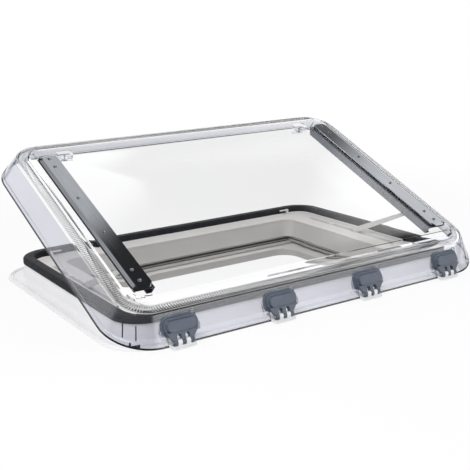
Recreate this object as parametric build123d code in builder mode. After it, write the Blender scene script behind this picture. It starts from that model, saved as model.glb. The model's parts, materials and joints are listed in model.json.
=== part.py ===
from build123d import *
import os
from math import asin, cos, degrees, hypot, radians, sin

# Hinged roof window for a caravan or motorhome, modelled open.
# Origin: centre of the roof's cut-out, on the outside of the roof. X runs along the hinges,
# Y from the hinges to the back edge, Z up. Millimetres.

# roof and its cut-out
cutout_length = 960
cutout_width = 655
roof_thickness = 30
fit_gap = 4
running_gap = 0.3
bore_gap = 0.05

# outer frame: flange on the roof, upstand with a seat, spigot through the cut-out
flange_side = 46
flange_front_side = 50.5
flange_back_side = 43.5
flange_radius = 98
flange_thickness = 6.5
flange_edge = 2
upstand_side = 4
upstand_ends = 3.5
upstand_radius = 71
upstand_top = 43
upstand_wall = 4
upstand_draft = 9
upstand_foot_fillet = 4
seat_width = 27
seat_thickness = 3
spigot_wall = 4
corner_radius = 56

# seal on the seat
seal_overhang = 3.7
seal_height = 16.5
seal_width = 30
seal_round = 7
seal_groove = 1.6

# inner frame: sloping ledge, deep walls, grooves for the stay arms
ledge_top = 41
ledge_drop = 7
shell = 3
well_side = 102
well_ends = 61.5
well_radius = 30
well_bottom = -21
wall_line_height = 29
wall_line = 1
groove_width = 12
groove_offset = 48
groove_front = 104
groove_back = 48
groove_floor = 20
trough_wall = 2
post_offset = 32
post_radius = 7
post_pitch = 200

# ceiling frame under the roof
ceiling_overlap = 40
ceiling_radius = 92
ceiling_depth = 32
ceiling_wall = 3
ceiling_rim = 15
ceiling_fillet = 12
shelf_drop = 14
opening_side = 37
opening_ends = 43
opening_radius = 55
shelf_side = 18
shelf_ends = 56
shelf_radius = 20

# clamps and screws
clamp_pitch = 200
clamp_inset = 7
end_clamp_inset = 52
boss_radius = 8
boss_depth = 14
clamp_screw_radius = 2
clamp_screw_head = 4.5
claw_width = 16
claw_thickness = 2.5
claw_reach = 35
claw_tail = 10
claw_toe = 6
trim_screw_radius = 2
trim_head_radius = 4
trim_recess_radius = 4.6
trim_recess_depth = 6
trim_cap_thickness = 1.6

# hinge line, and how far the dome stands open
hinge_stand = 24
hinge_z = 16
hinge_inset = 90
hinge_count = 4
open_angle = 23.1
pin_radius = 2.5
barrel_radius = 6
finger_width = 9
finger_pitch = 20
knuckle_radius = 5.5
pin_head_radius = 3.6
pin_head = 1.2
bracket_width = 56
bracket_thickness = 4
bracket_front = 8
bracket_back = 50
bracket_slope = 6
bracket_screw_x = 18
bracket_screw_radius = 2
bracket_screw_head = 3.6

# dome, in its own frame: y from the hinge line, h square to its rim
pane = 3
skirt_bottom = -11.9
skirt_side = 11.9
skirt_bottom_front = 1.5
skirt_back_side = 6
skirt_bottom_radius = 108
rim_height = 46
rim_side = 33.2
rim_front = 47.5
rim_back_side = 32.7
rim_radius = 73
crown = ((24, 51.3), (33, 58.6), (44, 62.5))
bulge_inset = 100
bulge_radius = 60
bulge_slope = 100
bulge_rise = 4
cutout_tab_width = 61.5
cutout_tab_top = 19.6

# inner pane, bonded under the rim
inner_pane = 2.5
inner_edge = 20
bond_gap = 0.3
tape_thickness = 2

# hinge covers on the skirt
cover_width = 90
cover_height = 47
cover_centre = 34
cover_radius = 21
cover_steps = ((0, 3, 10), (4, 5, 22), (9, 7, 24))
pocket_gap = 2.5
pocket_rim = 1.8
pocket_rise = 1.2
web_top_half = 38
web_top = 22
slot_top = 18
plate_width = 80
plate_height = 34
plate_thickness = 3
cover_screw_x = 30
cover_screw_radius = 2

# rails on the dome's sides
rail_offset = 8.6
rail_width = 49
rail_front_gap = 69.5
rail_back_gap = 80.3
rail_end_radius = 20
rail_plate = 3
rail_edge = 0.8
gasket_thickness = 0.5
gasket_inset = 0.6
rail_screw_radius = 2.5
rail_screw_head = 4
rail_screw_rise = 0.8
rail_end_screw = 19.7
rail_screw_pair = 38.2
channel_wall = 2
channel_offset = 20
channel_flange = 49
channel_bottom = 33
channel_foot = 13
channel_lip = 3.5
channel_cut = 9
nut_radius = 4
nut_height = 2.5

# stay arms
arm_thickness = 5
arm_pivot_y = 12
arm_pivot_z = 36
arm_reach = 256
arm_root = 8.5
arm_tip = 5
glide_height = 41
glide_half = 5.5
glide_length = 34
glide_shoulder = 3.8
arm_pin_radius = 3
glide_pin_radius = 2.5
ear_thickness = 1.5
ear_gap = 0.4
ear_radius = 7
bracket_foot = 20
foot_screw = 15
foot_screw_radius = 1.5
foot_screw_head = 2.7

# latches near the dome's back corners
latch_offset = 48
latch_inset = 66.3
latch_block = (40, 26, 12)
latch_hub = 8
tongue_bottom = 32.5
tongue_thickness = 3
tongue_reach = 23
tongue_width = 10
thumb_reach = 16
latch_screw_radius = 2.5
latch_screw_head = 4.4
catch_bar = 3
catch_gap = 1
catch_post = 6
catch_offset = 16

# blind and insect screen
layer_pitch = 11.5
first_layer = -27.5
bar_height = 7
bar_width = 14
finger_slot = 90
track_width = 15
track_groove = 5
track_groove_depth = 8
cassette_depth = 54
cassette_wall = 1.5
pleat_count = 18
pleat_pitch = 3
pleat_sheet = 1
pleat_inset = 2
clip_y = 108
clip_length = 18

# places that follow from the sizes above: half is along X, reach along Y
spigot_half = cutout_length / 2 - fit_gap
spigot_reach = cutout_width / 2 - fit_gap
flange_half = cutout_length / 2 + flange_side
flange_front = -cutout_width / 2 - flange_front_side
flange_back = cutout_width / 2 + flange_back_side
upstand_half = cutout_length / 2 + upstand_side
upstand_reach = cutout_width / 2 + upstand_ends
well_half = cutout_length / 2 - well_side
well_reach = cutout_width / 2 - well_ends
opening_half = well_half - opening_side
opening_reach = well_reach - opening_ends
shelf_half = well_half + shelf_side
shelf_reach = well_reach + shelf_ends
arm_x = well_half + groove_offset
groove_start = groove_front - well_reach
groove_end = well_reach - groove_back
post_x = well_half + post_offset
end_clamp_x = spigot_half - end_clamp_inset
hinge_y = flange_front - hinge_stand
hinge_span = cutout_length - 2 * hinge_inset
hinge_places = [hinge_span * (step / (hinge_count - 1) - 0.5) for step in range(hinge_count)]
skirt_bottom_half = flange_half + skirt_side
skirt_bottom_back = flange_back - hinge_y + skirt_back_side
rim_half = skirt_bottom_half - rim_side
rim_back = skirt_bottom_back - rim_back_side
rail_half = arm_x + rail_offset
rail_start = rim_front + rail_front_gap
rail_end = rim_back - rail_back_gap
rail_length = rail_end - rail_start
rail_centre = (rail_start + rail_end) / 2
end_screw = rail_length / 2 - rail_end_screw
rail_screw_places = ((end_screw - rail_screw_pair) / 3, end_screw - rail_screw_pair, end_screw)
channel_face = arm_x - channel_offset
latch_x = arm_x - latch_offset
latch_y = rim_back - latch_inset
ledge_half = upstand_half - seat_width - running_gap
ledge_reach = upstand_reach - seat_width - running_gap
ledge_radius = upstand_radius - seat_width
ceiling_top = -roof_thickness
ceiling_bottom = ceiling_top - ceiling_depth
shelf_top = ceiling_top - shelf_drop
track_top = well_bottom - 1
track_x = well_half - 2
dome = Plane(
    origin=(0, hinge_y, hinge_z),
    x_dir=(1, 0, 0),
    z_dir=(0, -sin(radians(open_angle)), cos(radians(open_angle))),
)
skirt_rise = hypot(rim_front - skirt_bottom_front, rim_height - skirt_bottom)
skirt_up = Vector(0, rim_front - skirt_bottom_front, rim_height - skirt_bottom) / skirt_rise
skirt_out = Vector(0, -skirt_up.Z, skirt_up.Y)
pin_stand = -skirt_out.dot(Vector(0, skirt_bottom_front, skirt_bottom))


def rounded_box(half, front, back, radius, mode=Mode.ADD):
    with Locations((0, (front + back) / 2)):
        RectangleRounded(2 * half, back - front, radius, mode=mode)


def upstand_box(inset, mode=Mode.ADD):
    # the upstand's outline at its top, moved in by inset
    rounded_box(upstand_half - inset, inset - upstand_reach, upstand_reach - inset,
                upstand_radius - inset, mode=mode)


def dome_point(x, y, h):
    return dome.from_local_coords(Vector(x, y, h))


def dome_side(x):
    # looking along +X, with the dome's y to the right and its h up
    return Plane(origin=dome_point(x, 0, 0), x_dir=dome.y_dir, z_dir=(1, 0, 0))


def dome_turned(direction):
    return dome_point(*direction) - dome.origin


def skirt_plane(x, out=0):
    # on the front of the skirt at the hinge line's level: up the skirt is +Y, outwards is +Z
    foot = skirt_out * (out - pin_stand)
    return Plane(
        origin=dome_point(x, foot.Y, foot.Z), x_dir=(1, 0, 0), z_dir=dome_turned(skirt_out)
    )


def skirt_outline(h, inset=0):
    share = (h - skirt_bottom) / (rim_height - skirt_bottom)
    half = skirt_bottom_half + share * (rim_half - skirt_bottom_half)
    front = skirt_bottom_front + share * (rim_front - skirt_bottom_front)
    back = skirt_bottom_back + share * (rim_back - skirt_bottom_back)
    radius = skirt_bottom_radius + share * (rim_radius - skirt_bottom_radius)
    rounded_box(half - inset, front + inset, back - inset, radius - inset)


def crown_outline(inset):
    rounded_box(rim_half - inset, rim_front + inset, rim_back - inset, rim_radius - inset)


def crown_loft(points, mode=Mode.ADD):
    # each point is an inset from the rim and a height in the dome's frame
    sketches = []
    for inset, h in points:
        with BuildSketch(dome.offset(h), mode=Mode.PRIVATE) as level:
            crown_outline(inset)
        sketches.append(level.sketch)
    loft(sections=sketches, ruled=True, mode=mode)


def skirt_loft(low, high, inset, mode=Mode.ADD):
    sketches = []
    for h in (low, high):
        with BuildSketch(dome.offset(h), mode=Mode.PRIVATE) as level:
            skirt_outline(h, inset)
        sketches.append(level.sketch)
    loft(sections=sketches, ruled=True, mode=mode)


def save(piece, label):
    piece.label = label
    export_step(piece, f"parts/{label}.step")


# clamp places on the sides, then near the ends of the front and back
side_clamps = [
    (side * (spigot_half - spigot_wall - clamp_inset), step * clamp_pitch)
    for side in (-1, 1) for step in (-1, 0, 1)
]
end_clamps = [
    (side * end_clamp_x, end * (spigot_reach - spigot_wall - clamp_inset))
    for side in (-1, 1) for end in (-1, 1)
]
trim_places = [(side * post_x, step * post_pitch) for side in (-1, 1) for step in (-1, 0, 1)]
knuckle_width = finger_pitch - finger_width - 2 * running_gap
foot_screw_y = hinge_y + bracket_back - 12
bracket_places = [
    (side * arm_x, arm_pivot_y + end * foot_screw) for side in (-1, 1) for end in (-1, 1)
]
bracket_screw_places = [
    (x + side * bracket_screw_x, foot_screw_y) for x in hinge_places for side in (-1, 1)
]

# outer frame
with BuildPart() as outer_frame:
    with BuildSketch():
        rounded_box(flange_half, flange_front, flange_back, flange_radius)
    extrude(amount=flange_thickness)
    fillet(outer_frame.edges().group_by(Axis.Z)[-1], flange_edge)
    rise = upstand_top - flange_thickness
    spread = rise * sin(radians(upstand_draft)) / cos(radians(upstand_draft))
    with BuildSketch(Plane.XY.offset(flange_thickness)):
        upstand_box(-spread)
    extrude(amount=rise, taper=upstand_draft)
    foot_edges = outer_frame.faces().filter_by(Axis.Z).sort_by(Axis.Z)[-2].inner_wires()[0].edges()
    fillet(foot_edges, upstand_foot_fillet)
    with BuildSketch(Plane.XY.offset(flange_thickness)):
        upstand_box(upstand_wall - spread)
    extrude(amount=rise - seat_thickness, taper=upstand_draft, mode=Mode.SUBTRACT)
    with BuildSketch(Plane.XY.offset(upstand_top)):
        upstand_box(seat_width)
    extrude(amount=-2 * seat_thickness, mode=Mode.SUBTRACT)
    with BuildSketch():
        rounded_box(spigot_half, -spigot_reach, spigot_reach, corner_radius)
    extrude(amount=-roof_thickness)
    with BuildSketch(Plane.XY.offset(flange_thickness)):
        rounded_box(spigot_half - spigot_wall, spigot_wall - spigot_reach,
                    spigot_reach - spigot_wall, corner_radius - spigot_wall)
    extrude(amount=-roof_thickness - flange_thickness, mode=Mode.SUBTRACT)
    with BuildSketch():
        with Locations(*side_clamps, *end_clamps):
            Circle(boss_radius)
    extrude(amount=-boss_depth)
    with BuildSketch(Plane.XY.offset(-boss_depth)):
        with Locations(*side_clamps, *end_clamps):
            Circle(clamp_screw_radius + bore_gap)
    extrude(amount=boss_depth - 2, mode=Mode.SUBTRACT)
    with BuildSketch(Plane.XY.offset(flange_thickness)):
        with Locations(*bracket_screw_places):
            Circle(bracket_screw_radius + bore_gap)
    extrude(amount=1 - flange_thickness, mode=Mode.SUBTRACT)
save(outer_frame.part, "outer_frame")

# seal
with BuildPart() as frame_seal:
    with BuildSketch(Plane.XY.offset(upstand_top)):
        upstand_box(-seal_overhang)
        upstand_box(seal_width - seal_overhang, mode=Mode.SUBTRACT)
    extrude(amount=seal_height)
    fillet(frame_seal.edges().group_by(Axis.Z)[-1], seal_round)
    with BuildSketch(Plane.XY.offset(upstand_top + seal_height / 2)):
        upstand_box(-seal_overhang - 1)
        upstand_box(seal_groove - seal_overhang, mode=Mode.SUBTRACT)
    extrude(amount=-seal_groove, mode=Mode.SUBTRACT)
save(frame_seal.part, "frame_seal")


def ledge_loft(drop, mode):
    # the ledge's slope, from the well's edge out to the seat, lowered by drop
    low, high = ledge_top - ledge_drop - drop, ledge_top - drop
    with BuildSketch(Plane.XY.offset(low), mode=Mode.PRIVATE) as edge:
        rounded_box(well_half, -well_reach, well_reach, well_radius)
    with BuildSketch(Plane.XY.offset(high), mode=Mode.PRIVATE) as rim:
        rounded_box(ledge_half, -ledge_reach, ledge_reach, ledge_radius)
    loft(sections=[edge.sketch, rim.sketch], ruled=True, mode=mode)


def ledge_height(y):
    # just above the ledge, where it rises towards the back edge
    share = (y - well_reach) / (ledge_reach - well_reach)
    return ledge_top - ledge_drop + share * ledge_drop + 2 * bore_gap


def groove_sketch(side, wall):
    with Locations((side * arm_x, (groove_start + groove_end) / 2)):
        SlotOverall(groove_end - groove_start + 2 * wall, groove_width + 2 * wall, rotation=90)


# inner frame
with BuildPart() as inner_frame:
    ledge_loft(shell, Mode.ADD)
    with BuildSketch(Plane.XY.offset(ledge_top - shell)):
        rounded_box(ledge_half, -ledge_reach, ledge_reach, ledge_radius)
    extrude(amount=shell)
    with BuildSketch(Plane.XY.offset(ledge_top - ledge_drop)):
        rounded_box(well_half + shell, -well_reach - shell, well_reach + shell,
                    well_radius + shell)
    extrude(amount=well_bottom - ledge_top + ledge_drop)
    with BuildSketch(Plane.XY.offset(groove_floor - trough_wall)):
        for side in (-1, 1):
            groove_sketch(side, trough_wall)
    extrude(amount=ledge_top - groove_floor + trough_wall)
    with BuildSketch(Plane.XY.offset(shelf_top + running_gap)):
        with Locations(*trim_places):
            Circle(post_radius)
    extrude(amount=ledge_top - shelf_top - running_gap)
    ledge_loft(0, Mode.SUBTRACT)
    with BuildSketch(Plane.XY.offset(ledge_top)):
        rounded_box(well_half, -well_reach, well_reach, well_radius)
    extrude(amount=well_bottom - ledge_top, mode=Mode.SUBTRACT)
    with BuildSketch(Plane.XY.offset(wall_line_height)):
        rounded_box(well_half + wall_line, -well_reach - wall_line, well_reach + wall_line,
                    well_radius + wall_line)
    extrude(amount=-wall_line, mode=Mode.SUBTRACT)
    with BuildSketch(Plane.XY.offset(groove_floor)):
        for side in (-1, 1):
            groove_sketch(side, 0)
    extrude(amount=ledge_top - groove_floor, mode=Mode.SUBTRACT)
    with BuildSketch(Plane.XY.offset(groove_floor)):
        with Locations(*bracket_places):
            Circle(foot_screw_radius + bore_gap)
    extrude(amount=-trough_wall, mode=Mode.SUBTRACT)
    with BuildSketch(Plane.XY.offset(shelf_top)):
        with Locations(*trim_places):
            Circle(trim_screw_radius + bore_gap)
    extrude(amount=2 * boss_depth, mode=Mode.SUBTRACT)
save(inner_frame.part, "inner_frame")

# ceiling frame
ceiling_half = cutout_length / 2 + ceiling_overlap
ceiling_reach = cutout_width / 2 + ceiling_overlap
with BuildPart() as ceiling_frame:
    with BuildSketch(Plane.XY.offset(ceiling_top)):
        rounded_box(ceiling_half, -ceiling_reach, ceiling_reach, ceiling_radius)
    extrude(amount=-ceiling_depth)
    fillet(ceiling_frame.edges().group_by(Axis.Z)[0], ceiling_fillet)
    with BuildSketch(Plane.XY.offset(ceiling_top)):
        rim = ceiling_rim
        rounded_box(ceiling_half - rim, rim - ceiling_reach, ceiling_reach - rim,
                    ceiling_radius - rim)
    extrude(amount=ceiling_wall - ceiling_depth, mode=Mode.SUBTRACT)
    with BuildSketch(Plane.XY.offset(shelf_top)):
        rounded_box(shelf_half, -shelf_reach, shelf_reach, shelf_radius)
    extrude(amount=-ceiling_wall)
    with BuildSketch(Plane.XY.offset(shelf_top)):
        rounded_box(opening_half + ceiling_wall, -opening_reach - ceiling_wall,
                    opening_reach + ceiling_wall, opening_radius + ceiling_wall)
    extrude(amount=ceiling_bottom - shelf_top)
    with BuildSketch(Plane.XY.offset(shelf_top)):
        with Locations(*trim_places):
            Circle(boss_radius)
    extrude(amount=ceiling_bottom - shelf_top)
    with BuildSketch(Plane.XY.offset(shelf_top)):
        rounded_box(opening_half, -opening_reach, opening_reach, opening_radius)
    extrude(amount=ceiling_bottom - shelf_top, mode=Mode.SUBTRACT)
    with Locations(*[Location((x, y, ceiling_bottom), (180, 0, 0)) for x, y in trim_places]):
        CounterBoreHole(trim_screw_radius + bore_gap, trim_recess_radius, trim_recess_depth,
                        depth=shelf_top - ceiling_bottom)
save(ceiling_frame.part, "ceiling_frame")

# claws that grip the roof from below, and the screws that pull them up
claw_level = ceiling_top - claw_thickness - 2
with BuildPart() as clamp_claws:
    for x, y in side_clamps + end_clamps:
        along_x = (x, y) in side_clamps
        out = (1 if x > 0 else -1) if along_x else (1 if y > 0 else -1)
        turn = (0 if out > 0 else 180) if along_x else 90 * out
        base = Plane(origin=(x, y, claw_level)).rotated((0, 0, turn))
        with BuildSketch(base):
            with Locations(((claw_reach - claw_tail) / 2, 0)):
                RectangleRounded(claw_reach + claw_tail, claw_width, 3)
            Circle(clamp_screw_radius + bore_gap, mode=Mode.SUBTRACT)
        extrude(amount=claw_thickness)
        with BuildSketch(base.offset(claw_thickness)):
            with Locations((claw_reach - claw_toe / 2, 0)):
                Rectangle(claw_toe, claw_width - 4)
        extrude(amount=ceiling_top - claw_level - claw_thickness)
save(clamp_claws.part, "clamp_claws")

with BuildPart() as clamp_screws:
    with BuildSketch(Plane.XY.offset(claw_level)):
        with Locations(*side_clamps, *end_clamps):
            Circle(clamp_screw_head)
    extrude(amount=-clamp_screw_head / 2)
    with BuildSketch(Plane.XY.offset(claw_level)):
        with Locations(*side_clamps, *end_clamps):
            Circle(clamp_screw_radius)
    extrude(amount=-4 - claw_level)
save(clamp_screws.part, "clamp_screws")

# screws that hold the ceiling frame to the inner frame, and their caps
trim_seat = ceiling_bottom + trim_recess_depth
with BuildPart() as trim_screws:
    with BuildSketch(Plane.XY.offset(trim_seat)):
        with Locations(*trim_places):
            Circle(trim_head_radius)
    extrude(amount=-2.4)
    with BuildSketch(Plane.XY.offset(trim_seat)):
        with Locations(*trim_places):
            Circle(trim_screw_radius)
    extrude(amount=shelf_top + boss_depth - trim_seat)
save(trim_screws.part, "trim_screws")

with BuildPart() as trim_caps:
    with BuildSketch(Plane.XY.offset(ceiling_bottom)):
        with Locations(*trim_places):
            Circle(trim_recess_radius - bore_gap)
    extrude(amount=trim_cap_thickness)
save(trim_caps.part, "trim_caps")

# hinge brackets on the flange: a bar with two knuckles, and a foot that passes under the skirt
bar_bottom = 3
bar_top = hinge_z - barrel_radius - 2 * running_gap
foot_top = flange_thickness + bracket_thickness
for number, x in enumerate(hinge_places, 1):
    with BuildPart() as hinge_bracket:
        with BuildSketch(Plane.YZ.offset(x - bracket_width / 2)):
            with BuildLine():
                Polyline(
                    (hinge_y - bracket_front, bar_bottom),
                    (hinge_y - bracket_front, bar_top),
                    (flange_front - bracket_slope, bar_top),
                    (flange_front - bracket_slope / 2, foot_top),
                    (hinge_y + bracket_back, foot_top),
                    (hinge_y + bracket_back, flange_thickness),
                    (flange_front - 1, flange_thickness),
                    (flange_front - 1, bar_bottom),
                    close=True,
                )
            make_face()
        extrude(amount=bracket_width)
        outer_edges = hinge_bracket.edges().filter_by(Axis.Z)
        fillet(outer_edges, 2.5)
        for side in (-1, 1):
            start = x + side * finger_pitch / 2 - knuckle_width / 2
            with BuildSketch(Plane.YZ.offset(start)):
                with Locations((hinge_y, hinge_z)):
                    Circle(knuckle_radius)
                with Locations((hinge_y, (hinge_z + bar_bottom + 1) / 2)):
                    Rectangle(2 * knuckle_radius, hinge_z - bar_bottom - 1)
            extrude(amount=knuckle_width)
        with BuildSketch(Plane.YZ.offset(x - bracket_width / 2)):
            with Locations((hinge_y, hinge_z)):
                Circle(pin_radius + bore_gap / 2)
        extrude(amount=bracket_width, mode=Mode.SUBTRACT)
        with BuildSketch(Plane.XY.offset(flange_thickness)):
            with Locations((x - bracket_screw_x, foot_screw_y), (x + bracket_screw_x, foot_screw_y)):
                Circle(bracket_screw_radius + bore_gap)
        extrude(amount=2 * bracket_thickness, mode=Mode.SUBTRACT)
    save(hinge_bracket.part, f"hinge_bracket_{number}")

pin_half = finger_pitch + finger_width / 2
with BuildPart() as hinge_pins:
    for x in hinge_places:
        with BuildSketch(Plane.YZ.offset(x - pin_half - running_gap)):
            with Locations((hinge_y, hinge_z)):
                Circle(pin_radius)
        extrude(amount=2 * pin_half + 2 * running_gap)
        for start, way in ((x - pin_half - running_gap, -1), (x + pin_half + running_gap, 1)):
            with BuildSketch(Plane.YZ.offset(start)):
                with Locations((hinge_y, hinge_z)):
                    Circle(pin_head_radius)
            extrude(amount=way * pin_head)
save(hinge_pins.part, "hinge_pins")

with BuildPart() as bracket_screws:
    with BuildSketch(Plane.XY.offset(foot_top)):
        with Locations(*bracket_screw_places):
            Circle(bracket_screw_head)
    extrude(amount=1.6)
    with BuildSketch(Plane.XY.offset(1)):
        with Locations(*bracket_screw_places):
            Circle(bracket_screw_radius)
    extrude(amount=flange_thickness + bracket_thickness)
save(bracket_screws.part, "hinge_bracket_screws")


# dome's outer pane: skirt, ribbed rim, crown with flat sides for the rails, gentle bulge
rim_points = ((0, rim_height),) + crown
top_inset, top_height = crown[-1]
wall_inset = pane / skirt_up.Z
under_points = [(wall_inset, rim_height - pane)] + [
    (inset + pane * 0.4, h - pane * 1.02) for inset, h in crown[:-1]
] + [(top_inset + pane * 0.5, top_height - pane)]


def bulge(level, inset, mode=Mode.ADD):
    # the gentle rise inside the flat ring that carries the rails
    sketches = []
    for more, up in ((0, 0), (bulge_slope, bulge_rise)):
        with BuildSketch(dome.offset(level + up), mode=Mode.PRIVATE) as outline:
            edge = bulge_inset + inset + more
            rounded_box(rim_half - edge, rim_front + edge, rim_back - edge, bulge_radius)
        sketches.append(outline.sketch)
    loft(sections=sketches, ruled=True, mode=mode)


rail_screws_at = [
    (side * rail_half, rail_centre + end * place)
    for side in (-1, 1) for end in (-1, 1) for place in rail_screw_places
]
sides = (("left", -1), ("right", 1))


def drill(level, depth, places, radius):
    # round holes square to the dome's rim, from level downwards
    with BuildSketch(dome.offset(level)) as holes:
        with Locations(*places):
            Circle(radius)
    extrude(holes.sketch, amount=-depth, mode=Mode.SUBTRACT)


with BuildPart() as dome_outer_pane:
    skirt_loft(skirt_bottom, rim_height, 0)
    crown_loft(rim_points)
    bulge(top_height, 0)
    skirt_loft(skirt_bottom, rim_height - pane, wall_inset, Mode.SUBTRACT)
    crown_loft(under_points, Mode.SUBTRACT)
    bulge(top_height - pane, 0, Mode.SUBTRACT)
    for x in hinge_places:
        with BuildSketch(skirt_plane(x, -pocket_rise)):
            for size, mode in ((pocket_gap + pocket_rim, Mode.ADD), (pocket_gap, Mode.SUBTRACT)):
                with Locations((0, cover_centre)):
                    RectangleRounded(cover_width + 2 * size, cover_height + 2 * size,
                                     cover_radius + size, mode=mode)
        extrude(amount=2 * pocket_rise)
        with BuildSketch(skirt_plane(x, pane)):
            with Locations((0, cutout_tab_top / 2 - pane)):
                RectangleRounded(cutout_tab_width, cutout_tab_top + 2 * pane, 2 * pane)
            with Locations((0, skirt_bottom)):
                Rectangle(cutout_tab_width, cutout_tab_top)
        extrude(amount=-3 * pane, mode=Mode.SUBTRACT)
        with BuildSketch(skirt_plane(x, pane)):
            with Locations((-cover_screw_x, cover_centre), (cover_screw_x, cover_centre)):
                Circle(cover_screw_radius + bore_gap)
        extrude(amount=-3 * pane, mode=Mode.SUBTRACT)
    drill(top_height + 1, 2 * pane, rail_screws_at, rail_screw_radius + bore_gap)
save(dome_outer_pane.part, "dome_outer_pane")

# inner pane: its edge is bonded under the ribbed rim, its middle hangs a tape's thickness lower
under_slope = (under_points[1][1] - under_points[0][1]) / (under_points[1][0] - under_points[0][0])
edge_height = under_points[0][1] + under_slope * (inner_edge - wall_inset) - bond_gap
inner_top = [
    (inner_edge, edge_height),
    (under_points[1][0], under_points[1][1] - bond_gap),
    (under_points[2][0] + tape_thickness / 2, under_points[2][1] - tape_thickness * 0.7),
    (under_points[3][0] + tape_thickness / 2, under_points[3][1] - tape_thickness),
]
inner_under = [(inset + inner_pane * 0.4, h - inner_pane) for inset, h in inner_top]
inner_level = inner_under[-1][1]
with BuildPart() as dome_inner_pane:
    crown_loft([(inner_edge, edge_height - inner_pane)] + inner_top)
    crown_loft(inner_under, Mode.SUBTRACT)
    drill(inner_level + 2 * inner_pane, 3 * inner_pane, rail_screws_at,
          rail_screw_radius + bore_gap)
save(dome_inner_pane.part, "dome_inner_pane")

# hinge covers: stepped shells that end in three fingers round the hinge pin
cover_depth = sum(height for _, height, _ in cover_steps)
slot_width = finger_pitch - finger_width
web_foot = pin_head_radius + 3 * running_gap
for number, x in enumerate(hinge_places, 1):
    with BuildPart() as hinge_cover:
        level = 0
        for inset, height, taper in cover_steps:
            with BuildSketch(skirt_plane(x, level)):
                with Locations((0, cover_centre)):
                    RectangleRounded(cover_width - 2 * inset, cover_height - 2 * inset,
                                     cover_radius - inset)
            extrude(amount=height, taper=taper)
            level += height
        with BuildSketch(skirt_plane(x, pin_stand - barrel_radius)):
            Polygon((-web_top_half, web_top), (-pin_half, web_foot), (-pin_half, 0),
                    (pin_half, 0), (pin_half, web_foot), (web_top_half, web_top), align=None)
        extrude(amount=2 * barrel_radius - 1.5)
        side = skirt_plane(x - pin_half, pin_stand)
        with BuildSketch(Plane(origin=side.origin, x_dir=side.y_dir, z_dir=(1, 0, 0))):
            Circle(barrel_radius)
        extrude(amount=2 * pin_half)
        with BuildSketch(skirt_plane(x, -1)):
            with Locations((-finger_pitch / 2, 0), (finger_pitch / 2, 0)):
                SlotOverall(2 * slot_top, slot_width, rotation=90)
        extrude(amount=cover_depth + 2, mode=Mode.SUBTRACT)
        with BuildSketch(Plane(origin=side.origin, x_dir=side.y_dir, z_dir=(1, 0, 0))):
            Circle(pin_radius + bore_gap)
        extrude(amount=2 * pin_half, mode=Mode.SUBTRACT)
        with BuildSketch(skirt_plane(x)):
            with Locations((-cover_screw_x, cover_centre), (cover_screw_x, cover_centre)):
                Circle(cover_screw_radius + bore_gap)
        extrude(amount=cover_depth * 0.6, mode=Mode.SUBTRACT)
    save(hinge_cover.part, f"hinge_cover_{number}")

with BuildPart() as hinge_backing_plates:
    for x in hinge_places:
        with BuildSketch(skirt_plane(x, -pane - plate_thickness)):
            with Locations((0, cover_centre)):
                RectangleRounded(plate_width, plate_height, plate_thickness * 2)
            with Locations((-cover_screw_x, cover_centre), (cover_screw_x, cover_centre)):
                Circle(cover_screw_radius + bore_gap, mode=Mode.SUBTRACT)
        extrude(amount=plate_thickness)
save(hinge_backing_plates.part, "hinge_backing_plates")

with BuildPart() as hinge_cover_screws:
    for x in hinge_places:
        for radius, length in ((1.7 * cover_screw_radius, -1.8),
                               (cover_screw_radius, pane + plate_thickness + cover_depth / 2)):
            with BuildSketch(skirt_plane(x, -pane - plate_thickness)):
                with Locations((-cover_screw_x, cover_centre), (cover_screw_x, cover_centre)):
                    Circle(radius)
            extrude(amount=length)
save(hinge_cover_screws.part, "hinge_cover_screws")

# rails: plate and gasket on the dome, tape between the panes, channel below
gasket_level = top_height
plate_level = gasket_level + gasket_thickness
tape_level = top_height - pane - tape_thickness


def rail_outline(side, inset=0):
    with Locations((side * rail_half, rail_centre)):
        RectangleRounded(rail_width - 2 * inset, rail_length - 2 * inset, rail_end_radius - inset)
    with Locations(*[place for place in rail_screws_at if place[0] * side > 0]):
        Circle(rail_screw_radius + bore_gap, mode=Mode.SUBTRACT)


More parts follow.
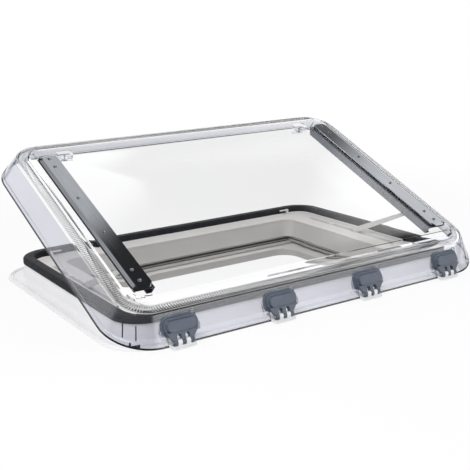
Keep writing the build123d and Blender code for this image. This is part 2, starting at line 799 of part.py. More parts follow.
for name, side in sides:
    with BuildPart() as rail:
        with BuildSketch(dome.offset(plate_level)):
            rail_outline(side)
        extrude(amount=rail_plate)
        top = rail.faces().filter_by(dome).sort_by(Axis(dome.origin, dome.z_dir))[-1]
        fillet(top.outer_wire().edges(), rail_edge)
    save(rail.part, f"rail_plate_{name}")

    with BuildPart() as gasket:
        with BuildSketch(dome.offset(gasket_level)):
            rail_outline(side, gasket_inset)
        extrude(amount=gasket_thickness)
    save(gasket.part, f"rail_gasket_{name}")

    with BuildPart() as tape:
        with BuildSketch(dome.offset(tape_level)):
            rail_outline(side, gasket_inset)
        extrude(amount=tape_thickness)
    save(tape.part, f"pane_tape_{name}")

    with BuildPart() as channel:
        section = Plane(origin=dome_point(0, rail_start, 0), x_dir=(1, 0, 0),
                        z_dir=dome.y_dir * -1)
        foot_end = channel_face + channel_foot
        with BuildSketch(section):
            with BuildLine():
                Polyline(
                    (side * channel_face, inner_level),
                    (side * channel_face, channel_bottom),
                    (side * foot_end, channel_bottom),
                    (side * foot_end, channel_bottom + channel_lip),
                    (side * (foot_end - 0.8 * channel_wall), channel_bottom + channel_lip),
                    (side * (foot_end - 0.8 * channel_wall), channel_bottom + channel_wall),
                    (side * (channel_face + channel_wall), channel_bottom + channel_wall),
                    (side * (channel_face + channel_wall), inner_level - channel_wall),
                    (side * (channel_face + channel_flange), inner_level - channel_wall),
                    (side * (channel_face + channel_flange), inner_level),
                    close=True,
                )
            make_face()
        extrude(amount=-rail_length)
        with BuildSketch(dome_side(side * rail_half - rail_width)):
            for end, way in ((rail_start, 1), (rail_end, -1)):
                Polygon((end, inner_level), (end, channel_bottom),
                        (end + way * channel_cut, channel_bottom), align=None)
        extrude(amount=2 * rail_width, mode=Mode.SUBTRACT)
        drill(inner_level, channel_wall, rail_screws_at, rail_screw_radius + bore_gap)
    save(channel.part, f"rail_channel_{name}")

with BuildPart() as rail_screws:
    with BuildSketch(dome.offset(plate_level + rail_plate)):
        with Locations(*rail_screws_at):
            Circle(rail_screw_head)
    extrude(amount=rail_screw_rise)
    with BuildSketch(dome.offset(plate_level + rail_plate)):
        with Locations(*rail_screws_at):
            Circle(rail_screw_radius)
    extrude(amount=inner_level - channel_wall - nut_height - 0.5 - plate_level - rail_plate)
save(rail_screws.part, "rail_screws")

with BuildPart() as rail_nuts:
    with BuildSketch(dome.offset(inner_level - channel_wall)):
        with Locations(*rail_screws_at):
            RegularPolygon(nut_radius, 6)
            Circle(rail_screw_radius + bore_gap, mode=Mode.SUBTRACT)
    extrude(amount=-nut_height)
save(rail_nuts.part, "rail_nuts")

# stay arms: a tapered bar from a bracket in the ledge's groove to a glide in the channel
pivot = dome.to_local_coords(Vector(0, arm_pivot_y, arm_pivot_z))
arm_lean = asin((glide_height - pivot.Z) / arm_reach)
glide_y = pivot.Y - arm_reach * cos(arm_lean)
arm_angle_open = degrees(arm_lean) - open_angle
closed_height = glide_height + hinge_z - arm_pivot_z
arm_angle_closed = degrees(asin(closed_height / arm_reach))
print(f"arm angle {arm_angle_open:.2f} open, {arm_angle_closed:.2f} closed,",
      f"ratio {(arm_angle_open - arm_angle_closed) / open_angle:.4f}, glide y {glide_y:.1f}")
arm_end = dome_point(0, glide_y, glide_height)
along = (arm_end - Vector(0, arm_pivot_y, arm_pivot_z)) / arm_reach
for name, side in sides:
    with BuildPart() as arm:
        flat = Plane(origin=(side * arm_x - arm_thickness / 2, arm_pivot_y, arm_pivot_z),
                     x_dir=along, z_dir=(1, 0, 0))
        with BuildSketch(flat):
            Circle(arm_root)
            with Locations((arm_reach, 0)):
                Circle(arm_tip)
            make_hull()
        extrude(amount=arm_thickness)
        fillet(arm.edges(), 1)
        with BuildSketch(flat):
            Circle(arm_pin_radius + bore_gap)
            with Locations((arm_reach, 0)):
                Circle(glide_pin_radius + bore_gap)
        extrude(amount=arm_thickness, mode=Mode.SUBTRACT)
    save(arm.part, f"arm_{name}")

    with BuildPart() as glide:
        inner_face = channel_face + channel_wall + 2 * running_gap
        body_face = channel_face + channel_foot - channel_wall
        arm_face = arm_x - arm_thickness / 2
        far_face = arm_x + arm_thickness / 2 + running_gap
        for start, stop, form in (
            (inner_face, body_face, "block"),
            (body_face, arm_face - running_gap, glide_shoulder),
            (arm_face - running_gap, far_face, glide_pin_radius),
            (far_face, far_face + 1.2, glide_pin_radius + 0.5),
        ):
            with BuildSketch(dome_side(side * start)):
                with Locations((glide_y, glide_height)):
                    if form == "block":
                        RectangleRounded(glide_length, 2 * glide_half, glide_half - 1)
                    else:
                        Circle(form)
            extrude(amount=side * (stop - start))
    save(glide.part, f"glide_{name}")

    with BuildPart() as arm_bracket:
        inner = arm_thickness / 2 + ear_gap
        outer = inner + ear_thickness
        for start in (side * arm_x - outer, side * arm_x + inner):
            with BuildSketch(Plane.YZ.offset(start)):
                with Locations((arm_pivot_y, arm_pivot_z)):
                    Circle(ear_radius)
                    Rectangle(2 * ear_radius, arm_pivot_z - bracket_foot,
                              align=(Align.CENTER, Align.MAX))
                    Circle(arm_pin_radius + bore_gap / 2, mode=Mode.SUBTRACT)
            extrude(amount=ear_thickness)
        with BuildSketch(Plane.XY.offset(bracket_foot)):
            with Locations((side * arm_x, arm_pivot_y)):
                RectangleRounded(2 * outer, 2 * foot_screw + 10, 2)
                with Locations((0, -foot_screw), (0, foot_screw)):
                    Circle(foot_screw_radius + bore_gap, mode=Mode.SUBTRACT)
        extrude(amount=ear_thickness)
    save(arm_bracket.part, f"arm_bracket_{name}")

with BuildPart() as arm_pins:
    for side in (-1, 1):
        pin_reach = arm_thickness / 2 + ear_gap + ear_thickness + running_gap
        with BuildSketch(Plane.YZ.offset(side * arm_x - pin_reach)):
            with Locations((arm_pivot_y, arm_pivot_z)):
                Circle(arm_pin_radius)
        extrude(amount=2 * pin_reach)
save(arm_pins.part, "arm_pins")

with BuildPart() as arm_bracket_screws:
    with BuildSketch(Plane.XY.offset(bracket_foot + ear_thickness)):
        with Locations(*bracket_places):
            Circle(foot_screw_head)
    extrude(amount=1.6)
    with BuildSketch(Plane.XY.offset(bracket_foot + ear_thickness)):
        with Locations(*bracket_places):
            Circle(foot_screw_radius)
    extrude(amount=-ear_thickness - trough_wall - 1)
save(arm_bracket_screws.part, "arm_bracket_screws")

# latches under the dome, and the catches that they turn into
tongue_top = tongue_bottom + tongue_thickness
block_top = inner_level
latch_places = [(side * latch_x, latch_y) for side in (-1, 1)]
for name, side in sides:
    length, depth, height = latch_block
    with BuildPart() as latch_base:
        with BuildSketch(dome.offset(block_top)):
            with Locations((side * latch_x, latch_y)):
                RectangleRounded(length, depth, 5)
        extrude(amount=-height, taper=4)
        drill(block_top - height, -height * 0.7, [(side * latch_x, latch_y)],
              latch_screw_radius + bore_gap)
    save(latch_base.part, f"latch_base_{name}")

    with BuildPart() as latch_lever:
        with BuildSketch(dome.offset(tongue_bottom)):
            with Locations((side * latch_x, latch_y)):
                Circle(latch_hub)
        extrude(amount=block_top - height - running_gap - tongue_bottom)
        with BuildSketch(dome.offset(tongue_bottom)):
            with Locations((side * (latch_x - tongue_reach / 2), latch_y)):
                RectangleRounded(tongue_reach, tongue_width, 3)
        extrude(amount=tongue_thickness)
        with BuildSketch(dome.offset(tongue_bottom)):
            with Locations((side * (latch_x + thumb_reach / 2), latch_y)):
                RectangleRounded(thumb_reach, tongue_width * 0.6, 2.5)
        extrude(amount=2 * tongue_thickness)
        drill(tongue_bottom, -3 * tongue_reach, [(side * latch_x, latch_y)],
              latch_screw_radius + bore_gap)
        drill(tongue_bottom, -tongue_thickness, [(side * latch_x, latch_y)],
              latch_screw_head + running_gap)
    save(latch_lever.part, f"latch_lever_{name}")

    with BuildPart() as catch:
        bar_z = tongue_top + hinge_z + catch_gap
        bar_y = latch_y + tongue_reach + hinge_y - 2.5
        with BuildSketch(Plane.XY.offset(bar_z)):
            with Locations((side * (latch_x + (catch_offset + catch_post - 9) / 2), bar_y)):
                RectangleRounded(catch_offset + catch_post + 9, 5, 2)
        extrude(amount=catch_bar)
        post_start = side * (latch_x + catch_offset + catch_post / 2) - catch_post / 2
        with BuildSketch(Plane.YZ.offset(post_start)):
            front, back = bar_y - 4, ledge_reach - running_gap
            Polygon((front, ledge_height(front)), (back, ledge_height(back)),
                    (back, bar_z + catch_bar), (front, bar_z + catch_bar), align=None)
        extrude(amount=catch_post)
    save(catch.part, f"catch_{name}")

with BuildPart() as latch_screws:
    for radius, start, length in (
        (latch_screw_head, tongue_top, 0.6 - tongue_thickness),
        (latch_screw_radius, tongue_top, block_top - tongue_top - latch_block[2] * 0.5),
    ):
        with BuildSketch(dome.offset(start)):
            with Locations(*latch_places):
                Circle(radius)
        extrude(amount=length)
save(latch_screws.part, "latch_screws")

# clips in the grooves
for name, side in sides:
    with BuildPart() as clip:
        with BuildSketch(Plane.XY.offset(groove_floor)):
            with Locations((side * arm_x, clip_y)):
                RectangleRounded(groove_width - 2 * running_gap, clip_length, 3)
        extrude(amount=ledge_top - groove_floor)
        fillet(clip.edges().group_by(Axis.Z)[-1], 1.5)
    save(clip.part, f"groove_clip_{name}")

# tracks beside the well, with one groove for the blind and one for the insect screen
layers = (first_layer, first_layer - layer_pitch)
cassette_face = well_reach - 2
for name, side in sides:
    with BuildPart() as track:
        with BuildSketch(Plane.XZ.offset(-cassette_face)):
            with Locations((side * (track_x + track_width / 2), (track_top + shelf_top) / 2)):
                Rectangle(track_width, track_top - shelf_top)
            with Locations(*[(side * (track_x + track_groove_depth / 2), z) for z in layers]):
                Rectangle(track_groove_depth, track_groove, mode=Mode.SUBTRACT)
        extrude(amount=2 * cassette_face)
    save(track.part, f"track_{name}")

for label, end in (("blind_cassette", -1), ("screen_cassette", 1)):
    with BuildPart() as cassette:
        half = track_x + track_width
        middle = end * (cassette_face + cassette_depth / 2)
        with BuildSketch(Plane.XY.offset(shelf_top)):
            with Locations((0, middle)):
                Rectangle(2 * half, cassette_depth)
        extrude(amount=track_top - shelf_top)
        for z in layers:
            with BuildSketch(Plane.XY.offset(z - (layer_pitch - cassette_wall) / 2)):
                with Locations((0, middle - end * cassette_wall)):
                    Rectangle(2 * half - 2 * cassette_wall, cassette_depth)
            extrude(amount=min(layer_pitch - cassette_wall, 2 * (track_top - z - cassette_wall)),
                    mode=Mode.SUBTRACT)
    save(cassette.part, label)

bar_back = cassette_face - 2
for label, cloth, z, end in (
    ("blind_pull_bar", "blind_pleats", layers[0], -1),
    ("screen_pull_bar", "screen_pleats", layers[1], 1),
):
    with BuildPart() as pull_bar:
        with BuildSketch(Plane.YZ.offset(-track_x + running_gap * 2)):
            with Locations((end * (bar_back - bar_width / 2), z)):
                RectangleRounded(bar_width, bar_height, 2)
        extrude(amount=2 * track_x - 4 * running_gap)
        with BuildSketch(Plane.YZ.offset(-track_x - track_groove_depth + 1)):
            with Locations((end * (bar_back - bar_width / 2), z)):
                RectangleRounded(bar_width, track_groove - 2 * running_gap, 1.5)
        extrude(amount=2 * (track_x + track_groove_depth - 1))
        with BuildSketch(Plane.XY.offset(z + bar_height / 2)):
            with Locations((0, end * (bar_back - bar_width / 2))):
                SlotOverall(finger_slot, bar_width / 2)
        extrude(amount=-1.2, mode=Mode.SUBTRACT)
    save(pull_bar.part, label)

    with BuildPart() as pleats:
        rise = bar_height / 2 - pleat_sheet
        start = bar_back + pleat_count * pleat_pitch + running_gap
        face = [
            (end * (start - step * pleat_pitch / 2), z + (rise if step % 2 else -rise))
            for step in range(2 * pleat_count + 1)
        ]
        back = [(y, level - pleat_sheet) for y, level in reversed(face)]
        with BuildSketch(Plane.YZ.offset(pleat_inset - track_x)):
            Polygon(*face, *back, align=None)
        extrude(amount=2 * (track_x - pleat_inset))
    save(pleats.part, cloth)
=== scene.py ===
import json
import math

import bmesh
import bpy
from mathutils import Matrix, Vector


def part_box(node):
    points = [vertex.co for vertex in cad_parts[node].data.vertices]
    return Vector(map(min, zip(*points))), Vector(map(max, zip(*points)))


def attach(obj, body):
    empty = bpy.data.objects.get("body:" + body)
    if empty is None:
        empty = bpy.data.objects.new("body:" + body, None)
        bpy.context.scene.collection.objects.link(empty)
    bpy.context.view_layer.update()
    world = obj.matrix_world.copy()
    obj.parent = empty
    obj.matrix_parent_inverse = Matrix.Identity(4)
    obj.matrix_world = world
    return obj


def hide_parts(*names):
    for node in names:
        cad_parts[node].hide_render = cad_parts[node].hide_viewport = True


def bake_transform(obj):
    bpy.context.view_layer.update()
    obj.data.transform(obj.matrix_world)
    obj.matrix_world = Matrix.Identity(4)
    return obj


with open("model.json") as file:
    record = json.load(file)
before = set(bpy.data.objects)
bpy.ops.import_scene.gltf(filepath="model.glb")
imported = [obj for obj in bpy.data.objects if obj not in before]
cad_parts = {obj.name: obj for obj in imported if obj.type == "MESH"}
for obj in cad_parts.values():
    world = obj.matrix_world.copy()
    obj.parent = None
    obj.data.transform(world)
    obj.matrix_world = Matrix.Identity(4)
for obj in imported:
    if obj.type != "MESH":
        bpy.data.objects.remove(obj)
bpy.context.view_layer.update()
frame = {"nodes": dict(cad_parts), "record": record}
nodes = frame["nodes"]
print("frame loaded:", len(nodes), "nodes")

# The dome is built in its own axes: y from the hinge line, z square to its rim.
hinge = {"place": Vector((0, -0.402, 0.016)), "openAngle": 23.1}
domeMatrix = Matrix.Translation(hinge["place"]) @ Matrix.Rotation(math.radians(hinge["openAngle"]), 4, "X")

# points nearer than merge count as one, heights or reaches nearer than level as equal
tolerance = {"merge": 1e-6, "level": 1e-5}


# mesh helpers

def mergeAndTurn(bm):
    # doubles become one and the faces point outwards
    bmesh.ops.remove_doubles(bm, verts=bm.verts, dist=tolerance["merge"])
    bmesh.ops.recalc_face_normals(bm, faces=bm.faces)


def finishMesh(bm, name, matrix=None, smooth=True, sharpAngle=28, recalculate=True):
    # edges that turn by more than sharpAngle degrees are shaded as sharp
    if recalculate:
        mergeAndTurn(bm)
    if matrix is not None:
        bmesh.ops.transform(bm, matrix=matrix, verts=bm.verts)
    mesh = bpy.data.meshes.new(name)
    for face in bm.faces:
        face.smooth = smooth
    for edge in bm.edges:
        edge.smooth = edge.calc_face_angle(0) < math.radians(sharpAngle)
    bm.to_mesh(mesh)
    bm.free()
    piece = bpy.data.objects.new(name, mesh)
    bpy.context.scene.collection.objects.link(piece)
    return piece


def flatFace(bm, wide, deep, centre):
    # a plain rectangle, given as its four corners
    corners = bmesh.ops.create_grid(bm, x_segments=1, y_segments=1, size=0.5)["verts"]
    bmesh.ops.scale(bm, vec=(wide, deep, 1), verts=corners)
    bmesh.ops.translate(bm, vec=centre, verts=corners)
    return corners


def block(bm, wide, deep, tall):
    # a box about the origin, given as its eight corners
    corners = bmesh.ops.create_cube(bm, size=1)["verts"]
    bmesh.ops.scale(bm, vec=(wide, deep, tall), verts=corners)
    return corners


def roundedRing(bm, half, front, back, radius, height, segments):
    # a closed loop of edges: a rectangle with its four corners rounded
    corners = flatFace(bm, 2 * half, back - front, (0, (front + back) / 2, height))
    rounded = bmesh.ops.bevel(bm, geom=corners, offset=radius, affect="VERTICES", segments=segments,
                              profile=0.5, material=-1)
    edges = {edge for vert in rounded["verts"] for edge in vert.link_edges}
    faces = {f for edge in edges for f in edge.link_faces}
    bmesh.ops.delete(bm, geom=list(faces), context="FACES_ONLY")
    return list(edges)


def bridged(bm, rings):
    # walls from each ring to the next
    faces = []
    for low, high in zip(rings, rings[1:]):
        faces += bmesh.ops.bridge_loops(bm, edges=low + high)["faces"]
    return faces


def drawnOut(bm, edges):
    # new faces from these edges: their new vertices and far edges, still to be moved
    made = bmesh.ops.extrude_edge_only(bm, edges=edges)["geom"]
    verts = [g for g in made if isinstance(g, bmesh.types.BMVert)]
    fresh = set(verts)
    return verts, [g for g in made if isinstance(g, bmesh.types.BMEdge) and all(v in fresh for v in g.verts)]


def cutAt(bm, faces, place, normal, clear=False):
    # the faces are divided by a plane; clear also takes away what lies on the normal's side
    edges = list({e for f in faces for e in f.edges})
    verts = list({v for f in faces for v in f.verts})
    return bmesh.ops.bisect_plane(bm, geom=faces + edges + verts, plane_co=place, plane_no=normal,
                                  dist=tolerance["merge"], clear_outer=clear)["geom_cut"]


# materials

def newMaterial(name):
    material = bpy.data.materials.new(name)
    material.use_nodes = True
    tree = material.node_tree
    shader = next(node for node in tree.nodes if node.type == "BSDF_PRINCIPLED")
    return material, tree, shader


noiseLook = {"detail": 3, "usualLow": 0.3, "usualHigh": 0.7}  # nearly all of the noise lies between the two


def noiseBetween(tree, scale, low, high, stretch=(1, 1, 1)):
    # object-space noise, its usual range remapped to low..high
    place = tree.nodes.new("ShaderNodeTexCoord")
    mapping = tree.nodes.new("ShaderNodeMapping")
    mapping.inputs["Scale"].default_value = stretch
    noise = tree.nodes.new("ShaderNodeTexNoise")
    noise.inputs["Scale"].default_value = scale
    noise.inputs["Detail"].default_value = noiseLook["detail"]
    ranged = tree.nodes.new("ShaderNodeMapRange")
    ranged.inputs["From Min"].default_value = noiseLook["usualLow"]
    ranged.inputs["From Max"].default_value = noiseLook["usualHigh"]
    ranged.inputs["To Min"].default_value = low
    ranged.inputs["To Max"].default_value = high
    tree.links.new(place.outputs["Object"], mapping.inputs["Vector"])
    tree.links.new(mapping.outputs["Vector"], noise.inputs["Vector"])
    tree.links.new(noise.outputs["Fac"], ranged.inputs["Value"])
    return ranged.outputs["Result"]


def mottled(tree, shader, look, stretch=(1, 1, 1)):
    # two close colours in soft patches
    patches = noiseBetween(tree, look["mottle"], 0, 1, stretch)
    mix = tree.nodes.new("ShaderNodeMix")
    mix.data_type = "RGBA"
    mix.inputs["A"].default_value = (*look["colour"], 1)
    mix.inputs["B"].default_value = (*look["other"], 1)
    tree.links.new(patches, mix.inputs["Factor"])
    tree.links.new(mix.outputs["Result"], shader.inputs["Base Color"])


def unevenGloss(tree, shader, look, stretch=(1, 1, 1)):
    rough = noiseBetween(tree, look["roughScale"], *look["roughness"], stretch)
    tree.links.new(rough, shader.inputs["Roughness"])


def grained(tree, shader, look, stretch=(1, 1, 1)):
    height = noiseBetween(tree, look["grain"], 0, 1, stretch)
    bump = tree.nodes.new("ShaderNodeBump")
    bump.inputs["Strength"].default_value = look["grainStrength"]
    bump.inputs["Distance"].default_value = look["grainDepth"]
    tree.links.new(height, bump.inputs["Height"])
    tree.links.new(bump.outputs["Normal"], shader.inputs["Normal"])


def solidFinish(name, look):
    # one opaque finish: two close colours, a roughness range and a fine grain
    material, tree, shader = newMaterial(name)
    stretch = look.get("stretch", (1, 1, 1))
    mottled(tree, shader, look, stretch)
    unevenGloss(tree, shader, look, stretch)
    grained(tree, shader, look, stretch)
    shader.inputs["Metallic"].default_value = look.get("metallic", 0)
    shader.inputs["Specular IOR Level"].default_value = look.get("specular", 0.5)
    return material


def clearAcrylic(name, look):
    # one clear finish: a tint, faint except where it is painted shade, and a gloss that is a little uneven
    material, tree, shader = newMaterial(name)
    mottled(tree, shader, look)
    shader.inputs["Transmission Weight"].default_value = look["clear"]
    shader.inputs["IOR"].default_value = look["ior"]
    unevenGloss(tree, shader, look)
    return material


finishes = {
    "white_frame": dict(colour=(0.88, 0.88, 0.89), other=(0.86, 0.86, 0.875), mottle=18, roughScale=40,
                        roughness=(0.28, 0.38), grain=900, grainStrength=0.08, grainDepth=0.0004),
    "white_bracket": dict(colour=(0.80, 0.81, 0.82), other=(0.76, 0.77, 0.79), mottle=40, roughScale=60,
                          roughness=(0.25, 0.35), grain=900, grainStrength=0.08, grainDepth=0.0003),
    "grey_frame": dict(colour=(0.72, 0.705, 0.69), other=(0.68, 0.665, 0.65), mottle=14, roughScale=30,
                       roughness=(0.45, 0.58), grain=1400, grainStrength=0.15, grainDepth=0.0004),
    "pale_clip": dict(colour=(0.75, 0.74, 0.72), other=(0.70, 0.69, 0.67), mottle=60, roughScale=60,
                      roughness=(0.4, 0.5), grain=900, grainStrength=0.1, grainDepth=0.0003),
    "black_rubber": dict(colour=(0.007, 0.008, 0.010), other=(0.012, 0.013, 0.017), mottle=30, roughScale=50,
                         roughness=(0.5, 0.62), grain=1200, grainStrength=0.2, grainDepth=0.0004,
                         specular=0.16),
    "blue_grey_cover": dict(colour=(0.058, 0.075, 0.108), other=(0.070, 0.090, 0.126), mottle=50,
                            roughScale=60, roughness=(0.3, 0.42), grain=1500, grainStrength=0.12,
                            grainDepth=0.0003),
    "dark_rail": dict(colour=(0.36, 0.375, 0.40), other=(0.31, 0.325, 0.35), mottle=25, roughScale=30,
                      roughness=(0.06, 0.10), grain=700, grainStrength=0.03, grainDepth=0.0001,
                      stretch=(8, 0.5, 0.5), metallic=1),
    "dark_channel": dict(colour=(0.20, 0.215, 0.245), other=(0.16, 0.175, 0.205), mottle=25, roughScale=30,
                         roughness=(0.22, 0.32), grain=700, grainStrength=0.06, grainDepth=0.0001,
                         stretch=(8, 0.5, 0.5), metallic=1),
    "dark_screws": dict(colour=(0.22, 0.225, 0.24), other=(0.26, 0.265, 0.28), mottle=200, roughScale=200,
                        roughness=(0.25, 0.4), grain=800, grainStrength=0.1, grainDepth=0.0002,
                        metallic=0.9),
    "arm_paint": dict(colour=(0.66, 0.66, 0.65), other=(0.62, 0.62, 0.61), mottle=40, roughScale=60,
                      roughness=(0.3, 0.4), grain=900, grainStrength=0.1, grainDepth=0.0003),
    "glide_nylon": dict(colour=(0.70, 0.70, 0.68), other=(0.66, 0.66, 0.64), mottle=80, roughScale=80,
                        roughness=(0.4, 0.5), grain=900, grainStrength=0.1, grainDepth=0.0003),
    "shaded_plastic": dict(colour=(0.42, 0.41, 0.395), other=(0.38, 0.37, 0.355), mottle=50, roughScale=60,
                           roughness=(0.38, 0.5), grain=1200, grainStrength=0.15, grainDepth=0.0003),
    "pull_bar_grey": dict(colour=(0.5, 0.49, 0.48), other=(0.46, 0.45, 0.44), mottle=40, roughScale=60,
                          roughness=(0.35, 0.45), grain=1200, grainStrength=0.12, grainDepth=0.0003),
    "blind_cloth": dict(colour=(0.72, 0.71, 0.68), other=(0.66, 0.65, 0.62), mottle=60, roughScale=80,
                        roughness=(0.8, 0.9), grain=2200, grainStrength=0.5, grainDepth=0.0004),
    "screen_mesh": dict(colour=(0.05, 0.05, 0.055), other=(0.09, 0.09, 0.095), mottle=300, roughScale=80,
                        roughness=(0.8, 0.9), grain=2200, grainStrength=0.5, grainDepth=0.0004),
    "steel": dict(colour=(0.6, 0.61, 0.63), other=(0.5, 0.51, 0.53), mottle=120, roughScale=120,
                  roughness=(0.25, 0.4), grain=600, grainStrength=0.1, grainDepth=0.0002, metallic=1),
}
acrylics = {
    "clear_acrylic": dict(colour=(0.97, 0.975, 0.99), other=(0.955, 0.962, 0.98), mottle=6, ior=1.47,
                          clear=1, roughScale=20, roughness=(0.0, 0.012)),
    "crownAcrylic": dict(colour=(0.995, 0.995, 0.998), other=(0.99, 0.992, 0.996), mottle=6, ior=1.33,
                         clear=1, roughScale=20, roughness=(0.0, 0.012)),
    "thinAcrylic": dict(colour=(0.995, 0.995, 0.998), other=(0.99, 0.992, 0.996), mottle=6, ior=1.08, clear=1,
                        roughScale=20, roughness=(0.0, 0.012)),
    # the skirt's lavender-grey tint is painted shade: the same outer pane is near white at the crown
    "skirtPaintedShadeAcrylic": dict(colour=(0.67, 0.675, 0.73), other=(0.62, 0.63, 0.695), mottle=5, ior=1.49,
                         clear=0.975, roughScale=20, roughness=(0.005, 0.025)),
    # near black: painted shade for the dark lines at the pane's cut edges, its foot and the corner ribs
    "paintedShadeEdge": dict(colour=(0.02, 0.02, 0.026), other=(0.012, 0.012, 0.018), mottle=9, ior=1.49, clear=0.1,
                    roughScale=40, roughness=(0.1, 0.2)),
    "clear_plastic": dict(colour=(0.96, 0.96, 0.975), other=(0.94, 0.945, 0.965), mottle=30, ior=1.05,
                          clear=0.99, roughScale=40, roughness=(0.05, 0.12)),
}

materials = {slot: solidFinish(slot, look) for slot, look in finishes.items()}
materials.update({name: clearAcrylic(name, look) for name, look in acrylics.items()})

# a node wears the finish of its slot; the foam strips share the channels' finish, so no black band shows
slotOf = {row["node"]: row["material_slot"] for row in frame["record"]["subparts"]}
ownFinish = {"pane_tape_left": "dark_channel", "pane_tape_right": "dark_channel"}
for node, piece in nodes.items():
    piece.data.materials.clear()
    piece.data.materials.append(materials[ownFinish.get(node, slotOf[node])])
print("finishes ready:", len(materials))

# outer pane of the dome: skirt, ribbed rim, step and a crown that bulges a little
domeShell = {
    "pane": 0.003,
    "cornerSteps": 34,
    "straight": 0.1,  # sides longer than this are divided for the ribs
    "ribsAcross": 132,
    "ribsAlong": 86,
    "ribRise": 0.0015,
    "ribEnd": 0.0012,
    # half length, front, back, corner radius, height
    "skirtFoot": (0.5379, 0.0015, 0.7790, 0.1080, -0.0119),
    "skirtTop": (0.5063, 0.0453, 0.7479, 0.0747, 0.0432),
    "skirtSlant": 0.07,  # from foot to top along the leaning skirt
    # shares of the skirt's height below and above a small step, and the step's depth
    "skirtMoulding": (0.17, 0.19, 0.0013),
    "skirtMiddle": 0.6,  # share of the height at the ring between the step and the top
    "edge": 0.0040,  # height of the band at the foot that is painted near black as shade
    "margin": 0.001,  # the skirt's finish ends this far below its top
    "clearStep": 0.0530,  # above this level the step bends light so little that it leaves no dark line
    "fold": (0.5045, 0.0478, 0.7461, 0.0728, 0.0456),
    "ribs": [(0.5020, 0.0502, 0.7436, 0.0703, 0.0466), (0.4807, 0.0715, 0.7223, 0.0490, 0.0495)],
    "step": [
        (0.4790, 0.0732, 0.7206, 0.0473, 0.0500),
        (0.4762, 0.0760, 0.7178, 0.0445, 0.0525),
        (0.4735, 0.0787, 0.7151, 0.0418, 0.0558),
        (0.4705, 0.0817, 0.7121, 0.0388, 0.0588),
        (0.4664, 0.0858, 0.7080, 0.0347, 0.0609),
        (0.4607, 0.0915, 0.7023, 0.0290, 0.0620),
    ],
    # the flat that carries the rails, then the bulge: widths going inwards, rise, rings
    "flat": 0.0560,
    "bulge": 0.1700,
    "bulgeRise": 0.0042,
    "bulgeRings": 9,
}
ribWidth = domeShell["ribs"][0][0] - domeShell["ribs"][1][0]

# openings for the hinge fingers; reach is how far back their cuts go
coverSlot = {"places": (-0.390, -0.130, 0.130, 0.390), "half": 0.0307, "top": 0.0196, "reach": 0.046}
skirtFront = Vector((0, domeShell["skirtFoot"][1], domeShell["skirtFoot"][4]))
skirtUp = (Vector((0, domeShell["skirtTop"][1], domeShell["skirtTop"][4])) - skirtFront).normalized()
skirtOut = Vector((0, -skirtUp.z, skirtUp.y))


def between(low, high, share):
    return tuple(a + (b - a) * share for a, b in zip(low, high))


def grown(ring, size):
    half, front, back, radius, height = ring
    return (half + size, front - size, back + size, radius + size, height)


def fineRing(bm, ring, look):
    # a rounded ring whose straight sides are divided for the ribs, two vertices to each rib
    edges = roundedRing(bm, *ring, look["cornerSteps"])
    for edge in [e for e in edges if e.calc_length() > look["straight"]]:
        along = edge.verts[1].co - edge.verts[0].co
        ribs = look["ribsAcross"] if abs(along.x) > abs(along.y) else look["ribsAlong"]
        made = bmesh.ops.subdivide_edges(bm, edges=[edge], cuts=2 * ribs - 1)
        edges += [g for g in made["geom_inner"] + made["geom_split"] if isinstance(g, bmesh.types.BMEdge)]
    return [e for e in dict.fromkeys(edges) if e.is_valid]


def everyOther(edges):
    # the odd vertices of a ring, counted from the middle of its front
    ring = set(edges)
    verts = {v for e in edges for v in e.verts}
    front = min(v.co.y for v in verts)
    here = min((v for v in verts if v.co.y < front + tolerance["level"]), key=lambda v: abs(v.co.x))
    edge = max((e for e in here.link_edges if e in ring), key=lambda e: e.other_vert(here).co.x)
    odd, count, first = [], 0, here
    while True:
        here = edge.other_vert(here)
        count += 1
        if here is first:
            return odd
        if count % 2:
            odd.append(here)
        edge = next(e for e in here.link_edges if e in ring and e is not edge)


def closeCrown(bm, ring, look):
    # the last ring of the step is drawn inwards: flat first, then up over a soft bulge
    verts = list({v for e in ring for v in e.verts})
    half = max(v.co.x for v in verts)
    front, back = (pick(v.co.y for v in verts) for pick in (min, max))
    middle, reach = (front + back) / 2, (back - front) / 2
    done, up = 0, 0
    for step in range(look["bulgeRings"] + 1):
        share = step / look["bulgeRings"]
        inset = look["flat"] + look["bulge"] * share
        rise = look["bulgeRise"] * (1 - math.cos(math.pi * share)) / 2
        verts, ring = drawnOut(bm, ring)
        bmesh.ops.scale(bm, vec=((half - inset) / (half - done), (reach - inset) / (reach - done), 1),
                        space=Matrix.Translation((0, -middle, 0)), verts=verts)
        bmesh.ops.translate(bm, vec=(0, 0, rise - up), verts=verts)
        done, up = inset, rise
    bmesh.ops.contextual_create(bm, geom=ring)


def frontFaces(bm, reach):
    # faces less than reach behind the hinge line
    return [f for f in bm.faces if f.calc_center_median().y < reach]


def cutSlots(bm, slot):
    # openings in the front of the skirt that let the hinge fingers through
    for x in slot["places"]:
        for side in (-1, 1):
            cutAt(bm, frontFaces(bm, slot["reach"]), (x + side * slot["half"], 0, 0), (1, 0, 0))
    cutAt(bm, frontFaces(bm, slot["reach"]), skirtFront + skirtUp * slot["top"], skirtUp)
    gone = []
    for face in frontFaces(bm, slot["reach"]):
        place = face.calc_center_median()
        inSlot = any(abs(place.x - x) < slot["half"] for x in slot["places"])
        if inSlot and (place - skirtFront).dot(skirtUp) < slot["top"]:
            gone.append(face)
    bmesh.ops.delete(bm, geom=gone, context="FACES")


paneFinishes = ("clear_acrylic", "skirtPaintedShadeAcrylic", "paintedShadeEdge", "crownAcrylic", "thinAcrylic")


